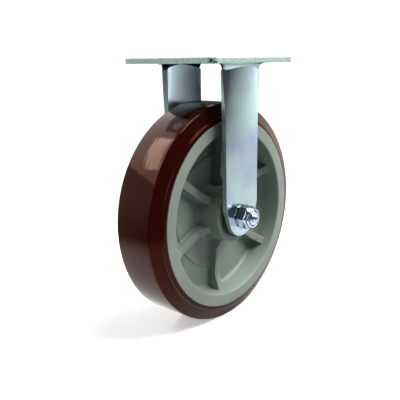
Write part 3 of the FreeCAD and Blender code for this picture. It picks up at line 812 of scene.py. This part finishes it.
def bead(name, side, outward, width, height, sag, finish, waisted=False):
    """Bead along the leg's bow: sag makes it lower half way, waisted makes it narrower too."""
    length, steps = 2 * HALF, 12
    count, ring = round(length * 3), steps + 2
    points = []
    for i in range(count + 1):
        run = i / count
        along = -HALF + length * run
        drawn = min(1.0, (min(run, 1 - run) * length + 0.02) / 1.4) ** 0.5
        wobble = noise.noise(Vector((along * 0.35, outward * 7, side * 3)))
        low = 1 - sag * (1 - abs(2 * run - 1) ** 1.7)
        wide = width * drawn * (low if waisted else 1) * (1 + 0.1 * wobble)
        tall = height * drawn * low * (1 - 0.12 * wobble)
        root = on_leg(side, along, -PLATE - 0.2, 1 if outward > 0 else 0)
        section = bead_section(side, abs(root.y), outward, along, wide, tall, wobble, steps)
        points += [(root.x, y, z) for y, z in section]
    faces = [(i * ring + k, i * ring + (k + 1) % ring, (i + 1) * ring + (k + 1) % ring,
              (i + 1) * ring + k) for i in range(count) for k in range(ring)]
    faces += [list(range(ring)), list(range(count * ring, (count + 1) * ring))]
    made = mesh_piece(name, points, faces, "fork", finish, sharp=70)
    report(made)
    return made


# %% Lay the beads
for label, side, sag, waisted in (("near", -1, 0.3, False), ("far", 1, 0.8, True)):
    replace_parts(bead(f"{label}_outer_bead", side, 1, 7.5, 6.0, 0.5, weld_zinc),
                f"{label}_outer_weld")
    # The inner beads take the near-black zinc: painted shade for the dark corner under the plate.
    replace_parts(bead(f"{label}_inner_bead", side, -1, 5.4, 5.4, sag, weld_shade_zinc, waisted),
                f"{label}_inner_weld")

# %% [markdown]
# ## The axle and its nut
# A round section squeezed to a hexagon gives a nut: near the corners the six flats win, near the
# faces the chamfer cone wins, and a soft minimum between the two eases every edge a little. A
# hexagonal prism cut by a cone would need a boolean for each end and leave knife edges.

# %% Squeeze a ring into a hexagon
FLAT, CORNER_EASE = 9.525, 0.7        # middle to flat, and softness of the six corners


def soft_least(a, b, ease):
    mix = max(0.0, min(1.0, 0.5 + 0.5 * (b - a) / ease))
    return b + (a - b) * mix - ease * mix * (1 - mix)


def hexagon(radius, turn):
    """Radius of a turned ring held inside a hexagon with corners fore and aft."""
    spot = turn % (math.pi / 3)
    wall = soft_least(FLAT / math.cos(spot - math.pi / 6), FLAT / math.cos(spot + math.pi / 6),
                      CORNER_EASE)
    wall = soft_least(wall, FLAT / math.cos(math.pi / 2 - spot), CORNER_EASE)
    return soft_least(radius, wall, 0.5) if radius > FLAT * 0.8 else radius


# %% Nut with its crimped collar
NUT_SEAT, NUT_TOP, NUT_END = -35.36, -45.76, -48.96
THREAD, CHAMFER, OUTER, COLLAR = 6.35, 9.3, 11.6, 9.0
section = [(THREAD, NUT_SEAT), (CHAMFER, NUT_SEAT), (OUTER, NUT_SEAT - 1.35)]
section += [(OUTER, NUT_SEAT - 1.35 - 0.75 * k) for k in range(1, 11)]
section += [(OUTER, NUT_TOP + 1.35), (9.5, NUT_TOP + 0.15), (COLLAR, NUT_TOP - 0.15)]
section += rounded([(COLLAR, NUT_TOP - 0.2), (COLLAR, NUT_END, 1.2), (7.2, NUT_END, 0.25),
                    (7.2, NUT_END + 0.8)], steps=5)
section += [(7.9, NUT_END + 0.9), (7.9, NUT_TOP), (THREAD, NUT_TOP)]
points, faces = spun(section, count=240, squeeze=hexagon)
nut = mesh_piece("locking_nut", points, faces, "fork", hardware_zinc, sharp=60)
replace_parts(nut, "lock_nut")
report(nut)

# %% Bolt with its drilled end and its head
BOLT_END, HEAD_SEAT, HEAD_END = -49.76, 35.36, 43.36
shank = rounded([(1.6, 0), (1.6, BOLT_END + 7.0), (3.0, BOLT_END + 7.0), (3.0, BOLT_END, 0.15),
                 (5.55, BOLT_END, 0.15), (THREAD, BOLT_END + 0.8, 0.2), (THREAD, HEAD_SEAT),
                 (CHAMFER, HEAD_SEAT), (OUTER, HEAD_SEAT + 0.84)], steps=3)
shank += [(OUTER, HEAD_SEAT + 1.24 + 0.75 * k) for k in range(7)]
shank += [(OUTER, 42.0), (9.5, 43.2), (8.9, HEAD_END), (0.4, HEAD_END), (0.02, HEAD_END)]
points, faces = spun([(0.02, 0.0)] + shank, count=240, squeeze=hexagon)
bolt = mesh_piece("hex_bolt", points, faces, "fork", hardware_zinc, sharp=40)
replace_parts(bolt, "axle_bolt")
report(bolt)

# %% [markdown]
# ## The grease fitting
# A small nipple with a waisted neck closes the end of the bolt, and a steel ball sits in its tip.
# The coupler of a grease gun grips the waist, so its corners are crisp but polished. It is one
# more turned section, from the passage inside to the neck and back.

# %% Turn the fitting
TIP = BOLT_END - 3.2
section = rounded([(1.05, BOLT_END + 7.0), (3.0, BOLT_END + 7.0), (3.0, BOLT_END),
                   (3.2, BOLT_END, 0.1), (3.2, BOLT_END - 0.8, 0.2), (2.3, BOLT_END - 1.28, 0.3),
                   (3.2, BOLT_END - 2.24, 0.3), (1.6, TIP, 0.4), (0.65, TIP, 0.1),
                   (1.05, TIP + 0.4)], closed=True, steps=4)
points, faces = spun(section, count=72)
fitting = mesh_piece("grease_nipple", points, faces, "fork", hardware_zinc,
                     sharp=50)
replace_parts(fitting, "grease_fitting")
report(fitting)

# %% [markdown]
# ## Washers and what stays as CAD made it
# The washers beside the hub show as a black ring round the foot of each leg, so they get eased
# edges; their near-black colour is partly the washers' own and partly painted shade in the gap
# between hub and leg. The bearing, the bushing and the locking ring are turned shapes that are
# right as they are: they keep their meshes and only take their finishes.

# %% Turn the washers
BORE, BRIM, HUB_FACE, LEG_FACE = 9.625, 20, 28.3, 30.65
for label, side in (("near", -1), ("far", 1)):
    section = rounded([(BORE, side * HUB_FACE, 0.2), (BRIM, side * HUB_FACE, 0.5),
                       (BRIM, side * LEG_FACE, 0.5), (BORE, side * LEG_FACE, 0.2)],
                      closed=True, steps=4)
    points, faces = spun(section, count=128)
    washer = mesh_piece(f"{label}_black_washer_and_gap_shade", points, faces, "fork", washer_plastic_and_gap_shade)
    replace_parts(washer, f"{label}_thrust_washer")
    report(washer)

# %% Finish the solids that keep their meshes
finishes = {"nut_insert": ring_plastic, "grease_fitting_ball": bearing_steel,
            "axle_bushing": bearing_steel, "bearing_cage": cage_plastic}
finishes.update({f"bearing_roller_{k}": bearing_steel for k in range(1, 9)})
for name, finish in finishes.items():
    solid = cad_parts[name]
    solid.data.materials.clear()
    solid.data.materials.append(finish)
    solid.data.shade_smooth()
    solid.data.set_sharp_from_angle(angle=math.radians(35))
print("finished in place:", len(finishes))

# %% [markdown]
# ## The stage
# A sheet of white paper lies under the wheel. It fades out half a metre away, where the white
# surroundings take over, so no edge and no horizon can be seen and the soft shadow stays. Light
# that bounces off it would fill the dark pockets of the web, so for such light the paper is grey,
# and in the camera it glows a little, which keeps the shadow soft. What mirrors it sees it bright
# behind the wheel, as if a lamp stood there. The Light Path node tells the rays apart, and the
# Backfacing output opens the paper to a view from beneath.

# %% Paint the paper
paper_skin, tree, shader = new_material("white_paper", Metallic=0.0, Roughness=0.6,
                                        Emission_Strength=0.34)
place = node(tree, "TexCoord").outputs["Object"]
cloudy = clouds(tree, place, 3.0, 2.0)["Fac"]
paper = blend(tree, cloudy, (0.86, 0.86, 0.86, 1), (0.9, 0.9, 0.9, 1))
rays = node(tree, "LightPath").outputs
seen, glossy = rays["Is Camera Ray"], rays["Is Glossy Ray"]
grey = blend(tree, glossy, (0.3, 0.3, 0.3, 1), (0.52, 0.52, 0.52, 1))
tree.links.new(blend(tree, seen, grey, paper), shader.inputs["Base Color"])

behind = node(tree, "VectorMath", {0: place, 1: (-0.7, 0.7, 0)}, operation="DOT_PRODUCT")
bright = ramp(tree, behind.outputs["Value"], -0.02, 0.06)
mirrored = times(tree, times(tree, bright, times(tree, glossy, 2.2)), minus(tree, 1.0, seen))
tree.links.new(plus(tree, seen, mirrored), shader.inputs["Emission Color"])

level = node(tree, "VectorMath", {0: place, 1: (1, 1, 0)}, operation="MULTIPLY").outputs[0]
away = node(tree, "VectorMath", {0: level}, operation="LENGTH").outputs["Value"]
away = times(tree, away, plus(tree, times(tree, glossy, 0.6), 1.0))
above = minus(tree, 1.0, node(tree, "NewGeometry").outputs["Backfacing"])
tree.links.new(times(tree, ramp(tree, away, 0.3, 0.62, 1.0, 0.0), above), shader.inputs["Alpha"])
print("paper:", len(tree.nodes), "nodes")

# %% Lay the paper
paper_radii, spokes = (0.1, 0.25, 0.45, 0.7), 48
floor_points = [(0, 0, cad_low.z)]
floor_points += [(r * math.cos(math.tau * k / spokes), r * math.sin(math.tau * k / spokes),
                  cad_low.z) for r in paper_radii for k in range(spokes)]
floor_faces = [(0, 1 + k, 1 + (k + 1) % spokes) for k in range(spokes)]
for ring in range(len(paper_radii) - 1):
    inner, outer = 1 + ring * spokes, 1 + (ring + 1) * spokes
    floor_faces += [(inner + k, outer + k, outer + (k + 1) % spokes, inner + (k + 1) % spokes)
                    for k in range(spokes)]
floor_mesh = bpy.data.meshes.new("paper_floor")
floor_mesh.from_pydata(floor_points, [], floor_faces)
floor_mesh.materials.append(paper_skin)
floor = bpy.data.objects.new("paper_floor", floor_mesh)
bpy.context.scene.collection.objects.link(floor)
report(floor)

# %% [markdown]
# ## Light
# The main light comes from high on the right, in front: the leg and the plate shade the upper left
# of the web. The left front stays dark, which blackens the bevel and the turned margin of the leg.
# A wide soft box behind lies as a sheen on the tread, and a narrow turned one makes the bright
# patch on its right half. A dim sky with a few glows in it gives the zinc something to mirror.

# %% Soft boxes
def soft_box(name, direction, distance, width, height, glow, roll=0):
    """A rectangular lamp in a direction from the wheel, turned to face it, with a given glow."""
    lamp = bpy.data.lights.new(name, "AREA")
    lamp.shape, lamp.size, lamp.size_y = "RECTANGLE", width, height
    lamp.energy = glow * math.pi * width * height
    holder = bpy.data.objects.new(name, lamp)
    heading = Vector(direction).normalized()
    holder.location = heading * distance + Vector((0, 0, axle_z))
    facing = (-heading).to_track_quat("-Z", "Y")
    holder.rotation_euler = (facing @ Quaternion((0, 0, 1), math.radians(roll))).to_euler()
    holder.visible_camera = False
    bpy.context.scene.collection.objects.link(holder)
    print(f"{name}: {lamp.energy:.2f} W")


soft_box("key_box", (0.34, -0.40, 0.85), 0.95, 0.78, 0.8, 9.6)
soft_box("back_box", (-0.16, 0.72, 0.68), 1.0, 1.4, 0.42, 1.45)
soft_box("patch_box", (-0.357, 0.626, 0.694), 0.9, 0.44, 0.11, 4.3, roll=-37)

# %% One glow in the sky
lobe, given, result = new_group(
    "sky_lobe",
    [("Way", "Vector", None), ("Towards", "Vector", (0, 0, 1)), ("Sharpness", "Float", 5.0),
     ("Strength", "Float", 1.0)],
    [("Glow", "Float")])
aim = node(lobe, "VectorMath", {0: given["Towards"]}, operation="NORMALIZE").outputs[0]
near_aim = node(lobe, "VectorMath", {0: given["Way"], 1: aim}, operation="DOT_PRODUCT")
fall = times(lobe, minus(lobe, near_aim.outputs["Value"], 1.0), given["Sharpness"])
lobe.links.new(times(lobe, maths(lobe, "EXPONENT", fall), given["Strength"]), result["Glow"])
print("node group:", lobe.name)

# %% Surroundings
# Each glow is (direction, sharpness, strength).
glows = [((0.98, -0.18, 0.0), 12.0, 1.2), ((0.66, -0.50, -0.57), 14.0, 1.35),
         ((-0.06, 0.99, 0.12), 7.0, 1.25), ((-0.78, 0.58, 0.22), 14.0, 0.5),
         ((-0.85, 0.1, 0.5), 16.0, 1.6), ((-0.3, -0.5, -0.8), 5.0, 0.4)]
world = bpy.data.worlds.new("studio_surroundings")
world.use_nodes = True
tree = world.node_tree
sky = tree.nodes["Background"]
way = node(tree, "TexCoord").outputs["Generated"]
light = 0.045
for towards, sharpness, strength in glows:
    placed = place_group(tree, lobe, {"Way": way, "Towards": towards, "Sharpness": sharpness,
                                      "Strength": strength})
    light = plus(tree, light, placed["Glow"])
seen = node(tree, "LightPath").outputs["Is Camera Ray"]
light = plus(tree, times(tree, light, minus(tree, 1.0, seen)), seen)
tree.links.new(light, sky.inputs["Strength"])
sky.inputs["Color"].default_value = (1, 1, 1, 1)
bpy.context.scene.world = world
print("glows in the sky:", len(glows))

# %% [markdown]
# ## The view
# The photograph is a contrasty cut-out. More contrast could come from harder light, but that would
# change each reflection, so the light stays soft and the view's look deepens the darks.

# %% Set the view
view = bpy.context.scene.view_settings
view.view_transform = "Standard"
view.look = "Medium High Contrast"
view.exposure = 0.0
print("look:", view.look)
